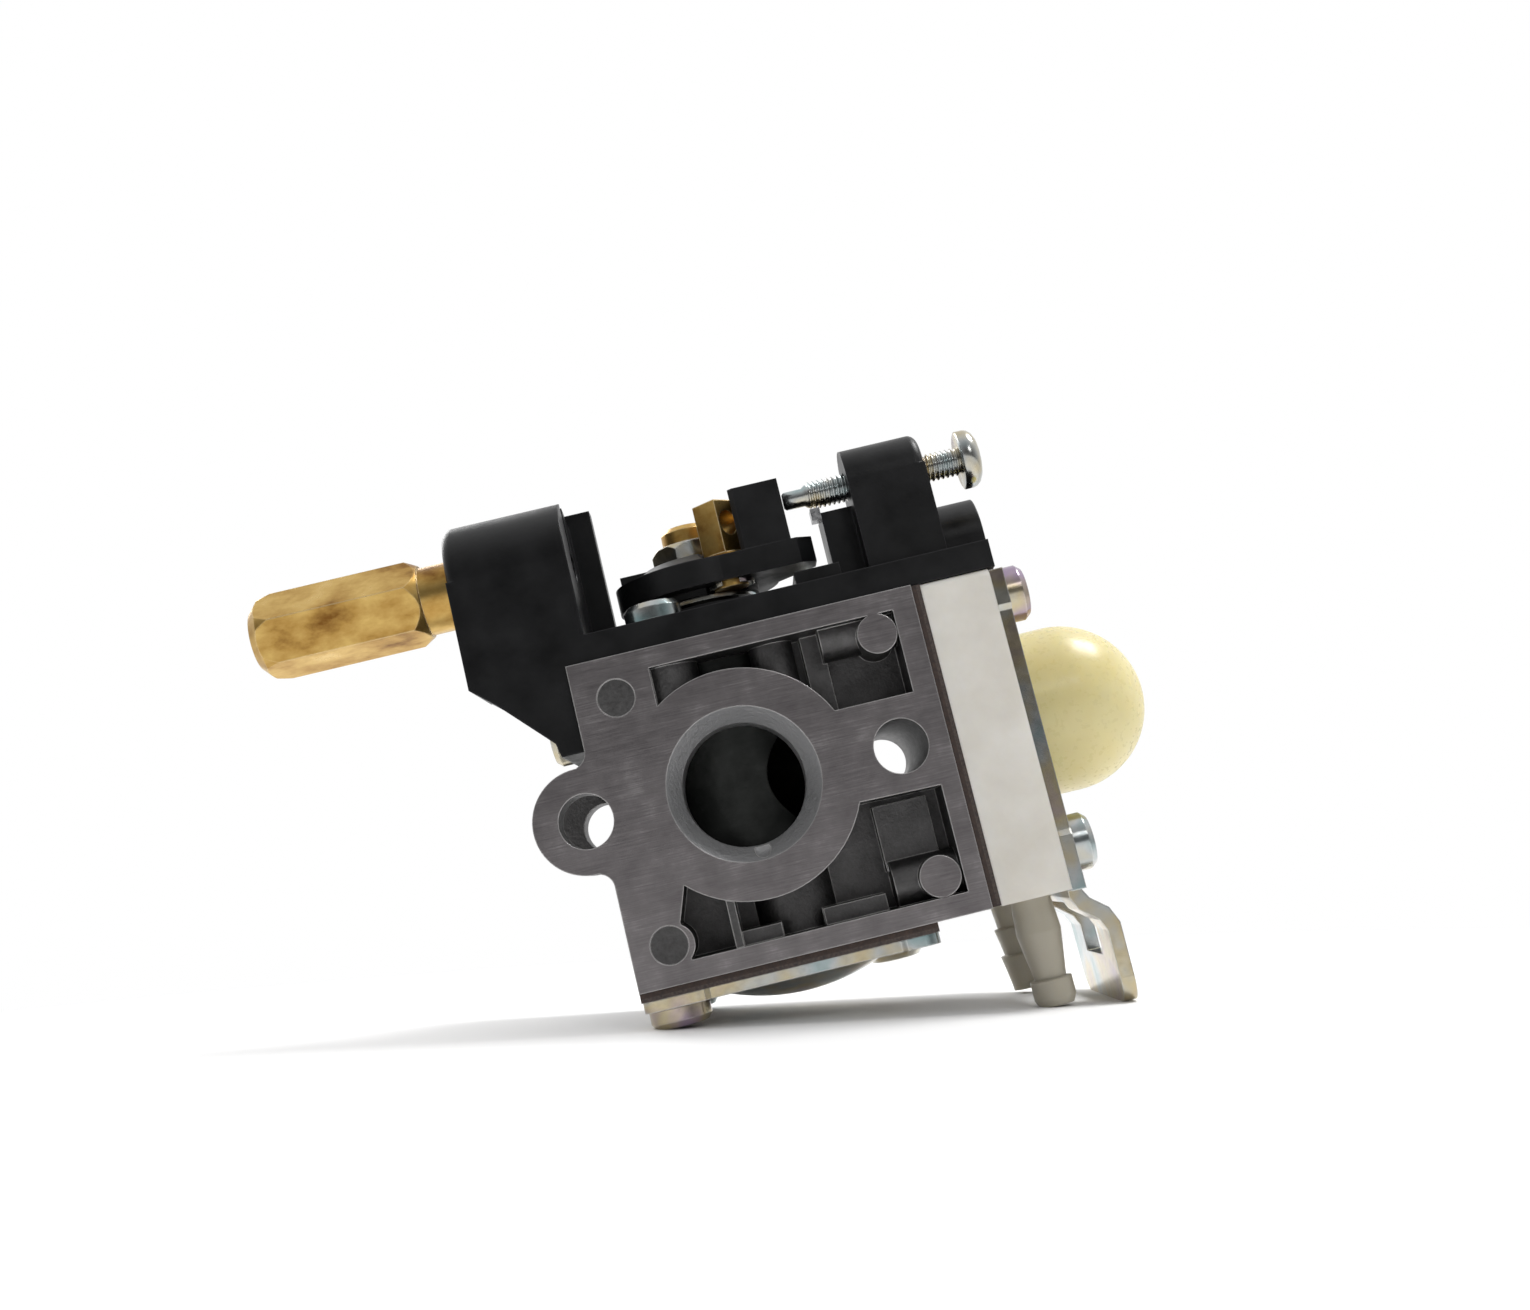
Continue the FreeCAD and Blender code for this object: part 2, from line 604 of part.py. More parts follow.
def swivel_clip():
    ring = rod(("swivel_x", "cable_y", "lever_low - 0.5"), "2.4", "0.45")
    inner = rod(("swivel_x", "cable_y", 0), "swivel_rad - 0.28", "40")
    gap = box(("swivel_x - 0.9", "cable_y - 4", "lever_low - 1"), (1.8, 4, 2))
    return cut(ring, [inner, gap], "swivel_clip")


def thrust_washer():
    """The thin washer between the return spring and the lever."""
    ring = rod((0, "barrel_y", "lever_low - 1.15"), "5.9", "0.4")
    return cut(ring, [rod((0, "barrel_y", 0), "stem_rad + run_gap", "40")], "thrust_washer")


def return_spring():
    """The return spring in the collar: three turns of wire, each drawn as a ring of its own."""
    spring = fresh("Part::Compound", "return_spring")
    turns = []
    for turn in range(3):
        ring = fresh("Part::Torus")
        bind(ring, "Radius1", "spring_mean")
        bind(ring, "Radius2", "spring_wire")
        height = f"body_top + 1.45 + spring_wire + {turn} * (2 * spring_wire + 0.1)"
        turns.append(put(ring, (0, "barrel_y", height)))
    spring.Links = turns


# ---------------------------------------------------------------- cable adjuster and idle screw


def cable_adjuster():
    """A hexagonal brass sleeve with a rounded end; its thread is in the bracket's cable holder."""
    hexed = hexagon((-44.6, "cable_y", "cable_z"), "7.7", "17.4", "x", spin=16)
    profile = [
        (0, 0),
        ("3.0", 0),
        ("4.1", "1.0"),
        ("4.6", "3.0"),
        ("4.6", "15.9"),
        ("3.75", "17.4"),
        (0, "17.4"),
    ]
    envelope = turned(profile, (-44.6, "cable_y", "cable_z"), "x")
    nose = common(hexed, envelope)
    neck = rod((-27.3, "cable_y", "cable_z"), "3.5", "27.3 - holder_left - 0.15", "x")
    thread = rod((-26, "cable_y", "cable_z"), "thread_rad", "26 - holder_left + 7.9", "x")
    bore = rod((-50, "cable_y", "cable_z"), "1.1", "40", "x")
    socket = rod((-44.7, "cable_y", "cable_z"), "2.6", "10.1", "x")
    return cut(fuse([nose, neck, thread]), [bore, socket], "cable_adjuster")


def idle_screw():
    profile = [
        (0, 0),
        ("0.75", 0),
        ("0.98", "0.25"),
        ("0.98", "2.2"),
        ("idle_rad", "2.6"),
        ("idle_rad", "18.5"),
        ("3.0", "18.5"),
        ("3.0", "19.7"),
        ("2.5", "20.4"),
        ("1.6", "20.7"),
        (0, "20.7"),
    ]
    screw = turned(profile, ("idle_tip", "idle_y", "idle_z"), "x")
    return cut(screw, cross_recess(("idle_tip + 20.7", "idle_y", "idle_z"), "x"), "idle_screw")


def idle_screw_clip():
    """The thin steel leaf in the tower's left face that bears on the thread and stops it turning by itself."""
    leaf = box((12.9, "idle_y - 1.0", "idle_z - idle_rad - 1.35"), (1.0, 2.0, 1.25))
    return cut(leaf, [rod((12, "idle_y", "idle_z"), "idle_rad + 0.15", "4", "x")], "idle_screw_clip")


# ---------------------------------------------------------------- pump, primer base and bulb


def side_layer(label, start, thick, holes):
    sheet_box = box((start, "0.3", "-body_low + 0.1"), (thick, "depth - 0.6", "body_low + body_top - 0.2"))
    cuts = [rod((f"{start} - 1", y, z), "screw_rad + 0.05", "4", "x") for y, z in retainer_corners()]
    cuts += [rod((f"{start} - 1", y, z), r, "4", "x") for y, z, r in holes]
    return cut(sheet_box, cuts, label)


def primer_base():
    start = "side_right + gasket + film"
    block = box((start, "0.2", "-body_low"), ("base_thick", "depth - 0.4", "body_low + body_top"))
    top_front = lambda e: (
        abs(e.BoundBox.ZMin - size["body_top"]) < 0.01
        and abs(e.BoundBox.ZMax - size["body_top"]) < 0.01
        and e.BoundBox.XLength > 1
    )
    block = rounded(block, 1.2, top_front)
    near = fitting(
        (("1.95", "0"), ("2.2", "3.4"), ("1.55", "7.9"), ("2.05", "8.0"), ("2.05", "9.8"), ("1.7", "10.5")),
        "fitting_near")
    far = fitting(
        (("1.9", "0"), ("1.6", "3.4"), ("2.0", "3.5"), ("1.55", "6.3"), ("2.0", "6.4"), ("1.55", "9.2"), ("1.45", "10.1")),
        "fitting_far",
    )
    face = "side_right + gasket + film + base_thick"
    cuts = [
        rod((f"{face} - 1.1", "barrel_y", "bulb_z"), "10.4", "3", "x"),
        rod((f"{face} - 3.8", "barrel_y", "bulb_z"), "6.8", "6", "x"),
        rod((f"{face} - 5.4", "barrel_y", "bulb_z"), "1.0", "6", "x"),
        rod(("fitting_x", "fitting_near", -30), "0.9", "14.6", "z"),
        rod(("fitting_x", "fitting_far", -30), "0.9", "14.6", "z"),
        rod(("fitting_x", "fitting_near", -15.7), "0.6", "fitting_far - fitting_near", "y"),
    ]
    cuts += [rod((f"{start} - 1", y, z), "screw_rad + 0.05", "12", "x") for y, z in retainer_corners()]
    cuts += [rod((f"{start} - 0.1", "barrel_y", z), "4.4", "1.6", "x") for z in (5.4, -5.4)]
    return cut(fuse([block, near, far]), cuts, "primer_base")


def fitting(steps, depth_name):
    """A barbed hose fitting that points down. steps are (radius, distance below the base)."""
    profile = [(0, "0.8"), (steps[0][0], "0.8")]
    profile += [(radius, f"-({down})") for radius, down in steps]
    profile += [(0, f"-({steps[-1][1]})")]
    return turned(profile, ("fitting_x", depth_name, "-body_low"))


def primer_bulb():
    """The hollow rubber dome. Its foot is clamped between the base and the retainer."""
    face = "side_right + gasket + film + base_thick"
    outer, wall, neck = size["bulb_rad"], size["bulb_wall"], size["sheet"] + size["bulb_neck"]
    outline = [
        Vector(outer - wall, 0, -1.0),
        Vector(10.3, 0, -1.0),
        Vector(10.3, 0, -0.05),
        Vector(outer, 0, -0.05),
        Vector(outer, 0, neck),
    ]
    edges = [Part.LineSegment(a, b).toShape() for a, b in zip(outline, outline[1:])]
    slope = math.sqrt(0.5)
    top = Vector(0, 0, neck + outer)
    edges.append(Part.Arc(outline[-1], Vector(outer * slope, 0, neck + outer * slope), top).toShape())
    inner = outer - wall
    crown = Vector(0, 0, neck + inner)
    edges.append(Part.LineSegment(top, crown).toShape())
    low = Vector(inner, 0, neck)
    edges.append(Part.Arc(crown, Vector(inner * slope, 0, neck + inner * slope), low).toShape())
    edges.append(Part.LineSegment(low, outline[0]).toShape())
    solid = Part.Face(Part.Wire(edges)).revolve(Vector(), Vector(0, 0, 1), 360)
    x = size["side_right"] + size["gasket"] + size["film"] + size["base_thick"]
    return feature(solid, "primer_bulb", Vector(x, size["barrel_y"], size["bulb_z"]), TURN["x"])


def purge_valve():
    """The rubber mushroom valve on the floor of the primer base's cup."""
    floor = "side_right + gasket + film + base_thick - 3.8"
    profile = [
        (0, "-1.5"),
        ("0.95", "-1.5"),
        ("0.95", "0.02"),
        ("4.6", "0.02"),
        ("4.2", "0.5"),
        ("1.4", "1.3"),
        (0, "1.5"),
    ]
    return turned(profile, (floor, "barrel_y", "bulb_z"), "x", "purge_valve")


def bulb_retainer():
    """The zinc-plated plate that clamps the bulb, with its slotted tab bent down and outwards."""
    face = "side_right + gasket + film + base_thick"
    side = [
        ("0.5", "-body_low - 0.2"),
        ("depth - 0.5", "-body_low - 0.2"),
        ("depth - 0.5", "-11.9"),
        ("depth - 1.0", "-11.4"),
        ("depth - 1.0", "10.6"),
        ("depth - 0.5", "11.1"),
        ("depth - 0.5", "body_top - 0.3"),
        ("0.5", "body_top - 0.3"),
        ("0.5", "11.1"),
        ("1.0", "10.6"),
        ("1.0", "-11.4"),
        ("0.5", "-11.9"),
    ]
    flat = padded("YZ_Plane", side, "sheet")
    put(flat, (face, 0, 0))
    bend = [
        ("0", "-16.2"),
        ("0", "-17.9"),
        ("0.6", "-19.2"),
        ("2.3", "-20.6"),
        ("2.8", "-21.7"),
        ("2.8", "-28.9"),
        ("2.8 + sheet", "-28.9"),
        ("2.8 + sheet", "-21.2"),
        ("2.1 + sheet", "-19.6"),
        ("0.5 + sheet", "-18.3"),
        ("sheet", "-17.4"),
        ("sheet", "-16.2"),
    ]
    tab = padded("XZ_Plane", bend, "19", reverse=True)
    put(tab, (face, 3, 0))
    doc.recompute()
    tab = rounded(tab, 2.4, lambda e: abs(e.BoundBox.ZMax + 28.9) < 0.01 and e.BoundBox.YLength < 0.01)
    slot = box((f"{face} - 1", 8.4, -24.4), (8, 8.2, 5.9))
    cuts = [slot, rod((f"{face} - 1", "barrel_y", "bulb_z"), "bulb_rad + 0.1", "4", "x")]
    cuts += [rod((f"{face} - 1", y, z), "screw_rad + 0.05", "4", "x") for y, z in retainer_corners()]
    return cut(fuse([flat, tab]), cuts, "bulb_retainer")


def retainer_screws():
    seat = "side_right + gasket + film + base_thick + sheet"
    return screws(
        "retainer_screws", [(seat, y, z) for y, z in retainer_corners()], "x", 2.8, 2.3, "screw_rad", "15.5"
    )


def inlet_screen():
    """The fuel strainer, a disc of mesh in the inlet passage of the primer base."""
    return rod(("fitting_x", "fitting_near", -17.4), "0.88", "0.4", "z", "inlet_screen")


# ---------------------------------------------------------------- metering side


def low_layer(label, top, thick):
    layer = box(("-side_left", "0.3", f"{top} - ({thick})"),
                ("side_left + cover_right", "depth - 0.6", thick))
    cuts = [rod((x, y, "-body_low - 3"), "screw_rad + 0.05", "6") for x, y in COVER_SCREWS]
    if label == "metering_gasket":
        cuts.append(rod((0, "chamber_y", "-body_low - 3"), "chamber_rad", "6"))
    return cut(layer, cuts, label)


def metering_cover():
    top = "-body_low - gasket - film"
    outline = [
        ("-side_left", "0.5"),
        ("-8.2", "0.5"),
        ("-7.7", "1.0"),
        ("11.0", "1.0"),
        ("11.5", "0.5"),
        ("cover_right", "0.5"),
        ("cover_right", "depth - 0.5"),
        ("11.5", "depth - 0.5"),
        ("11.0", "depth - 1.0"),
        ("-7.7", "depth - 1.0"),
        ("-8.2", "depth - 0.5"),
        ("-side_left", "depth - 0.5"),
    ]
    plate = padded("XY_Plane", outline, "cover_sheet")
    put(plate, (0, 0, f"{top} - cover_sheet"))
    plate = rounded(plate, 1.4, lambda e: e.BoundBox.ZLength > 1 and abs(abs(e.BoundBox.Center.y - 13) - 12.5) < 0.01 and (
        e.BoundBox.XMax < -14 or e.BoundBox.XMin > 14
    ))
    across, deep, wall = size["dome_rad"], size["dome_deep"], size["cover_sheet"]
    ball_rad = (across**2 + deep**2) / (2 * deep)
    spot_z = -size["body_low"] - size["gasket"] - size["film"] - wall
    ball = Part.makeSphere(ball_rad, Vector(0, 0, ball_rad - deep))
    slab = Part.makeCylinder(across + 1, deep + wall, Vector(0, 0, -deep - 0.01))
    outer = ball.common(slab)
    inner_ball = Part.makeSphere(ball_rad - wall, Vector(0, 0, ball_rad - deep))
    place = Vector(size["dome_x"], size["barrel_y"], spot_z)
    dome = feature(outer, spot=place)
    hollow = feature(inner_ball.common(Part.makeCylinder(across - 1, 12, Vector(0, 0, -deep))), spot=place)
    vent = rod(("dome_x", "barrel_y", "-body_low - 8"), "0.8", "9")
    cuts = [hollow, vent] + [rod((x, y, "-body_low - 3"), "screw_rad + 0.05", "6") for x, y in COVER_SCREWS]
    return cut(fuse([plate, dome]), cuts, "metering_cover")


def cover_screws():
    seat = "-body_low - gasket - film - cover_sheet"
    return screws("cover_screws", [(x, y, seat) for x, y in COVER_SCREWS], "-z", 3.0, 2.0, "screw_rad", "7")


def metering_diaphragm():
    """The metering diaphragm's film; its button is a piece of its own."""
    return low_layer("metering_diaphragm", "-body_low - gasket", "film")


def diaphragm_button():
    profile = [(0, 0), ("3.6", 0), ("3.6", "0.25"), ("0.9", "0.25"), ("0.9", "0.85"), (0, "0.85")]
    return turned(profile, (-3.4, "chamber_y", "-body_low - gasket + 0.01"), "z", "diaphragm_button")


def metering_lever():
    bar = box((-4.8, "chamber_y - 1.1", "-body_low + 1.0"), (9.4, 2.2, 0.6))
    fork = box((4.2, "chamber_y - 0.9", "-body_low + 1.0"), (1.5, 1.8, 0.6))
    barrel_eye = rod((1.6, "chamber_y - 1.1", "-body_low + 1.3"), "0.8", "2.2", "y")
    eye = rod((1.6, "chamber_y - 3", "-body_low + 1.3"), "0.45", "6", "y")
    return cut(fuse([bar, fork, barrel_eye]), [eye], "metering_lever")


def lever_pin():
    return rod((1.6, "chamber_y - 2.8", "-body_low + 1.3"), "0.42", "5.6", "y", "metering_lever_pin")


def inlet_needle():
    profile = [(0, 0), ("1.2", 0), ("1.2", "3.4"), ("0.3", "5.0"), (0, "5.0")]
    return turned(profile, (5.0, "chamber_y", "-body_low + 1.75"), "z", "inlet_needle")


def metering_spring():
    return coil(1.05, 0.16, 0.72, 5, "metering_spring", Vector(-3.4, size["chamber_y"], -size["body_low"] + 1.85))


def main_jet():
    profile = [
        ("0.85", "-14.2"),
        ("1.5", "-14.2"),
        ("1.5", "-3.6"),
        ("1.2", "-3.2"),
        ("0.85", "-3.2"),
    ]
    return turned(profile, (0, "barrel_y", 0), "z", "main_jet")


def welch_plug():
    return rod((-1.2, 20.4, "-body_low + chamber_deep + 0.2"), "1.9", "0.6", "z", "welch_plug")


def build():
    body_casting()
    bracket()
    barrel()
    lever()
    lever_nut()
    needle_screw()
    swivel()
    swivel_clip()
    thrust_washer()
    return_spring()
    cable_adjuster()
    idle_screw()
    idle_screw_clip()
    screws("bracket_screws", [(x, y, "plate_high") for x, y in BRACKET_SCREWS], "z", 2.9, 2.0, "1.7", "9")
    screws("side_screw", [("-16.5", SIDE_SCREW_Y, SIDE_SCREW_Z)], "-x", 2.7, 1.9, "1.5", "6")
    side_layer("pump_gasket", "side_right", "gasket", [("barrel_y", "5.4", "4.4"), ("barrel_y", "-5.4", "4.4")])
    side_layer("pump_diaphragm", "side_right + gasket", "film", [])
    primer_base()
    inlet_screen()
    purge_valve()
    primer_bulb()
    bulb_retainer()
    retainer_screws()
    low_layer("metering_gasket", "-body_low", "gasket")
    metering_diaphragm()
    diaphragm_button()
    metering_cover()
    cover_screws()
    metering_lever()
    lever_pin()
    inlet_needle()
    metering_spring()
    main_jet()
    welch_plug()


def write_parts():
    doc.recompute()
    failed = [o.Label for o in doc.Objects if "Invalid" in o.State or "Error" in o.State]
    if failed:
        raise RuntimeError(f"objects in error: {failed}")
    for node in nodes:
        shape = node.Shape
        if shape.isNull() or not shape.isValid() or not shape.Solids:
            raise RuntimeError(f"{node.Label} has no valid solid")
    os.makedirs("parts", exist_ok=True)
    for node in nodes:
        node.Shape.exportStep(f"parts/{node.Label}.step")
        print(f"{node.Label}: {len(node.Shape.Solids)} solids, {node.Shape.Volume:.1f} mm3")


build()
write_parts()
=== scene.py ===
"""Photoreal view of the carburetor: materials for every CAD piece, studio light and the camera."""
import bpy
import bmesh
import json
import math

from mathutils import Matrix, Vector


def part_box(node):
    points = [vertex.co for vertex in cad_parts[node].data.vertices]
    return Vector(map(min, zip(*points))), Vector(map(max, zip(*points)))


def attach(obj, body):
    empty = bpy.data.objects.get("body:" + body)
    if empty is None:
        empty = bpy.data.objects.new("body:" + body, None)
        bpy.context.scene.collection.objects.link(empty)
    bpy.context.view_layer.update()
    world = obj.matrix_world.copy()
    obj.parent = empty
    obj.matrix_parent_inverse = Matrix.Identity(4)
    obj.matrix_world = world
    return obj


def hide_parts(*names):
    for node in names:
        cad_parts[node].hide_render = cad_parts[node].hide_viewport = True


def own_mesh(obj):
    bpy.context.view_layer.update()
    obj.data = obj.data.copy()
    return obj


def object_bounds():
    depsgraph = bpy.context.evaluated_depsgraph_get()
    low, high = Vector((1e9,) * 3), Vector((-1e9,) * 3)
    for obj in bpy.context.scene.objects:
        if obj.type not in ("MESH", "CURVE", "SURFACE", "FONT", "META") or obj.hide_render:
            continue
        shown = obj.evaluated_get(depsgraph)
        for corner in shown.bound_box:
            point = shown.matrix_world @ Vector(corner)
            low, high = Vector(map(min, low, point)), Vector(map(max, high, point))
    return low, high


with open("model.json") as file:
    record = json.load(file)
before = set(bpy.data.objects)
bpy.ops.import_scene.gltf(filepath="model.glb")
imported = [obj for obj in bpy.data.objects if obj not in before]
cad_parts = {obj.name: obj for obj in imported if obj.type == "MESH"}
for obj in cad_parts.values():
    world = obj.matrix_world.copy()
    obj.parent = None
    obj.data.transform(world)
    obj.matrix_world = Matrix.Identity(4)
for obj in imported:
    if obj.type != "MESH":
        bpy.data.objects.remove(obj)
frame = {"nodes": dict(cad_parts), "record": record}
cad_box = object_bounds()
nodes = frame["nodes"]
scene = bpy.context.scene
MM = 0.001
FLANGE_SKIN = 0.05 * MM  # how deep the milled finish of the two flange faces goes
MOUTH_RADIUS = 7.48 * MM  # the bored part of the air passage
FITTINGS_TOP = -17.1 * MM  # below this height the primer base, which is its two hose fittings there, is coloured darker and greyer


# ---------------------------------------------------------------- node helpers


class Shader:
    """A node material, built by short calls."""

    def __init__(self, name, **sockets):
        self.material = bpy.data.materials.new(name)
        self.material.use_nodes = True
        self.tree = self.material.node_tree
        self.bsdf = self.tree.nodes["Principled BSDF"]
        self.place = self.add("ShaderNodeTexCoord").outputs["Object"]
        self.set(self.bsdf, **sockets)

    def add(self, kind, **settings):
        node = self.tree.nodes.new(kind)
        for name, value in settings.items():
            setattr(node, name, value)
        return node

    def set(self, node, **sockets):
        for name, value in sockets.items():
            socket = node.inputs[name.replace("_", " ")]
            if isinstance(value, bpy.types.NodeSocket):
                self.tree.links.new(value, socket)
            else:
                socket.default_value = value
        return node

    def mapped(self, scale):
        """Object coordinates in metres, stretched by scale along each axis."""
        mapping = self.set(self.add("ShaderNodeMapping"), Scale=scale)
        self.tree.links.new(self.place, mapping.inputs["Vector"])
        return mapping.outputs["Vector"]

    def noise(self, scale, detail=4.0, rough=0.55):
        """Noise from 0 to 1. scale is the number of cells per metre along each axis."""
        stretch = (scale, scale, scale) if isinstance(scale, (int, float)) else scale
        node = self.set(self.add("ShaderNodeTexNoise"), Scale=1.0, Detail=detail, Roughness=rough)
        self.tree.links.new(self.mapped(stretch), node.inputs["Vector"])
        return node.outputs["Fac"]

    def ramp(self, value, stops):
        """Maps a value through stops of (position, colour or grey)."""
        node = self.add("ShaderNodeValToRGB")
        self.tree.links.new(value, node.inputs["Fac"])
        elements = node.color_ramp.elements
        while len(elements) < len(stops):
            elements.new(0.5)
        for element, (position, colour) in zip(elements, stops):
            element.position = position
            grey = isinstance(colour, (int, float))
            element.color = (colour, colour, colour, 1) if grey else (*colour, 1)
        return node.outputs["Color"]

    def mix(self, factor, first, second):
        """Blends two colours: factor 0 gives the first, 1 the second."""
        node = self.add("ShaderNodeMix", data_type="RGBA")
        for index, value in ((0, factor), (6, first), (7, second)):
            if isinstance(value, bpy.types.NodeSocket):
                self.tree.links.new(value, node.inputs[index])
            elif index == 0:
                node.inputs[index].default_value = value
            else:
                node.inputs[index].default_value = (*value, 1)
        return node.outputs[2]

    def math(self, operation, first, second=0.0, clamp=False):
        node = self.add("ShaderNodeMath", operation=operation, use_clamp=clamp)
        for index, value in enumerate((first, second)):
            if isinstance(value, bpy.types.NodeSocket):
                self.tree.links.new(value, node.inputs[index])
            else:
                node.inputs[index].default_value = value
        return node.outputs[0]

    def bump(self, layers, radius=None):
        """Stacks bump layers of (height, strength, depth in metres)."""
        last = None
        if radius:
            bevel = self.set(self.add("ShaderNodeBevel", samples=4), Radius=radius)
            last = bevel.outputs["Normal"]
        for height, strength, depth in layers:
            node = self.set(self.add("ShaderNodeBump"), Strength=strength, Distance=depth, Height=height)
            if last:
                self.tree.links.new(last, node.inputs["Normal"])
            last = node.outputs["Normal"]
        self.tree.links.new(last, self.bsdf.inputs["Normal"])

    def edge(self, radius=0.22 * MM):
        """1 along sharp edges, where a rounded normal and the true one part; 0 on flat ground."""
        rounded = self.set(self.add("ShaderNodeBevel", samples=6), Radius=radius)
        dot = self.add("ShaderNodeVectorMath", operation="DOT_PRODUCT")
        self.tree.links.new(rounded.outputs["Normal"], dot.inputs[0])
        self.tree.links.new(self.add("ShaderNodeNewGeometry").outputs["Normal"], dot.inputs[1])
        return self.ramp(dot.outputs["Value"], [(0.80, 1.0), (0.985, 0.0)])

    def inside_mouth(self):
        """1 close to the axis of the air passage, where the casting is bored and polished."""
        axis = self.add("ShaderNodeVectorMath", operation="MULTIPLY")
        self.tree.links.new(self.place, axis.inputs[0])
        axis.inputs[1].default_value = (1, 0, 1)
        length = self.add("ShaderNodeVectorMath", operation="LENGTH")
        self.tree.links.new(axis.outputs[0], length.inputs[0])
        return self.math("LESS_THAN", length.outputs["Value"], MOUTH_RADIUS)

    def height(self, axis):
        """One object coordinate, in metres: axis is X, Y or Z."""
        split = self.add("ShaderNodeSeparateXYZ")
        self.tree.links.new(self.place, split.inputs[0])
        return split.outputs[axis]


# ---------------------------------------------------------------- materials


def cast_aluminium():
    """Die-cast grey inside the pockets; milled, finely scratched and bright-edged on the flange faces."""
    s = Shader("cast_aluminium", Metallic=1.0)
    depth = s.height("Y")
    front = s.math("LESS_THAN", depth, FLANGE_SKIN)
    back = s.math("GREATER_THAN", depth, cad_box[1][1] - FLANGE_SKIN)
    milled = s.math("ADD", front, back, clamp=True)
    blotch = s.noise(260, 5, 0.6)
    grain = s.noise(2600, 3, 0.6)
    lines = s.noise((220, 900, 6200), 5, 0.75)
    cast = s.ramp(s.mix(0.35, blotch, grain), [(0.3, (0.060, 0.058, 0.058)), (0.7, (0.15, 0.147, 0.147))])
    smooth = s.ramp(
        s.mix(0.5, lines, blotch),
        [(0.32, (0.13, 0.12, 0.123)), (0.55, (0.22, 0.205, 0.208)), (0.72, (0.40, 0.385, 0.385))],
    )
    base = s.mix(milled, cast, smooth)
    base = s.mix(s.inside_mouth(), base, (0.34, 0.34, 0.345))
    base = s.mix(s.edge(), base, (0.62, 0.61, 0.60))
    rough_cast = s.ramp(grain, [(0.3, 0.42), (0.7, 0.6)])
    rough_milled = s.ramp(lines, [(0.3, 0.30), (0.7, 0.42)])
    s.set(s.bsdf, Base_Color=base, Roughness=s.mix(milled, rough_cast, rough_milled))
    milled_height = s.math("MULTIPLY", milled, lines)
    cast_height = s.math("MULTIPLY", s.math("SUBTRACT", 1.0, milled), grain)
    s.bump([(milled_height, 0.25, 0.06 * MM), (cast_height, 0.5, 0.1 * MM)], radius=0.18 * MM)
    return s.material


def turned_aluminium():
    """Hard-anodised aluminium, dark, with the rings of the lathe."""
    s = Shader("turned_aluminium", Metallic=0.6)
    rings = s.noise((300, 300, 9000), 2, 0.6)
    base = s.ramp(s.noise(400, 4), [(0.3, (0.008, 0.009, 0.008)), (0.7, (0.025, 0.027, 0.025))])
    s.set(s.bsdf, Base_Color=base, Roughness=s.ramp(rings, [(0.3, 0.3), (0.7, 0.5)]))
    s.bump([(rings, 0.25, 0.05 * MM)], radius=0.12 * MM)
    return s.material


def black_plastic():
    s = Shader("black_plastic", Specular_IOR_Level=0.28)
    fibre = s.noise(3200, 4, 0.7)
    cloud = s.noise(240, 4)
    base = s.ramp(cloud, [(0.3, (0.0025, 0.0026, 0.003)), (0.7, (0.007, 0.0072, 0.008))])
    base = s.mix(s.edge(), base, (0.03, 0.03, 0.033))
    s.set(s.bsdf, Base_Color=base, Roughness=s.ramp(cloud, [(0.3, 0.30), (0.7, 0.46)]))
    s.bump([(fibre, 0.22, 0.06 * MM), (cloud, 0.2, 0.2 * MM)], radius=0.25 * MM)
    return s.material


def ivory_plastic():
    s = Shader("ivory_plastic", Subsurface_Weight=0.25, Subsurface_Scale=2 * MM)
    s.bsdf.inputs["Subsurface Radius"].default_value = (1.0, 0.8, 0.5)
    cloud = s.noise(200, 5)
    speck = s.noise(3000, 3, 0.6)
    base = s.ramp(cloud, [(0.3, (0.70, 0.665, 0.60)), (0.7, (0.80, 0.775, 0.72))])
    # Below FITTINGS_TOP the ivory is mixed towards a darker, greyer colour.
    fittings = s.math("LESS_THAN", s.height("Z"), FITTINGS_TOP)
    base = s.mix(fittings, base, (0.40, 0.37, 0.30))
    s.set(s.bsdf, Base_Color=base, Roughness=s.ramp(speck, [(0.3, 0.36), (0.7, 0.5)]))
    s.bump([(speck, 0.25, 0.05 * MM)], radius=0.3 * MM)
    return s.material


def zinc_steel():
    """Zinc plate with the teal and yellow bloom of its passivation, duller on sheared edges."""
    s = Shader("zinc_steel", Metallic=1.0)
    bloom = s.noise(150, 3, 0.5)
    fine = s.noise(1400, 4, 0.6)
    tint = s.ramp(
        bloom,
        [
            (0.3, (0.24, 0.36, 0.37)),
            (0.43, (0.44, 0.46, 0.46)),
            (0.55, (0.50, 0.43, 0.28)),
            (0.7, (0.36, 0.28, 0.38)),
        ],
    )
    base = s.mix(s.ramp(fine, [(0.45, 0.0), (0.8, 0.18)]), tint, (0.22, 0.21, 0.20))
    base = s.mix(s.edge(), base, (0.70, 0.70, 0.68))
    s.set(s.bsdf, Base_Color=base, Roughness=s.ramp(fine, [(0.3, 0.17), (0.75, 0.25)]))
    s.bump([(fine, 0.05, 0.05 * MM)], radius=0.18 * MM)
    return s.material


def spring_steel():
    s = Shader("spring_steel", Metallic=1.0)
    fine = s.noise(2500, 3)
    s.set(s.bsdf, Base_Color=s.ramp(fine, [(0.3, (0.30, 0.30, 0.31)), (0.7, (0.52, 0.52, 0.53))]))
    s.set(s.bsdf, Roughness=s.ramp(fine, [(0.3, 0.22), (0.7, 0.4)]))
    s.bump([(fine, 0.1, 0.03 * MM)])
    return s.material


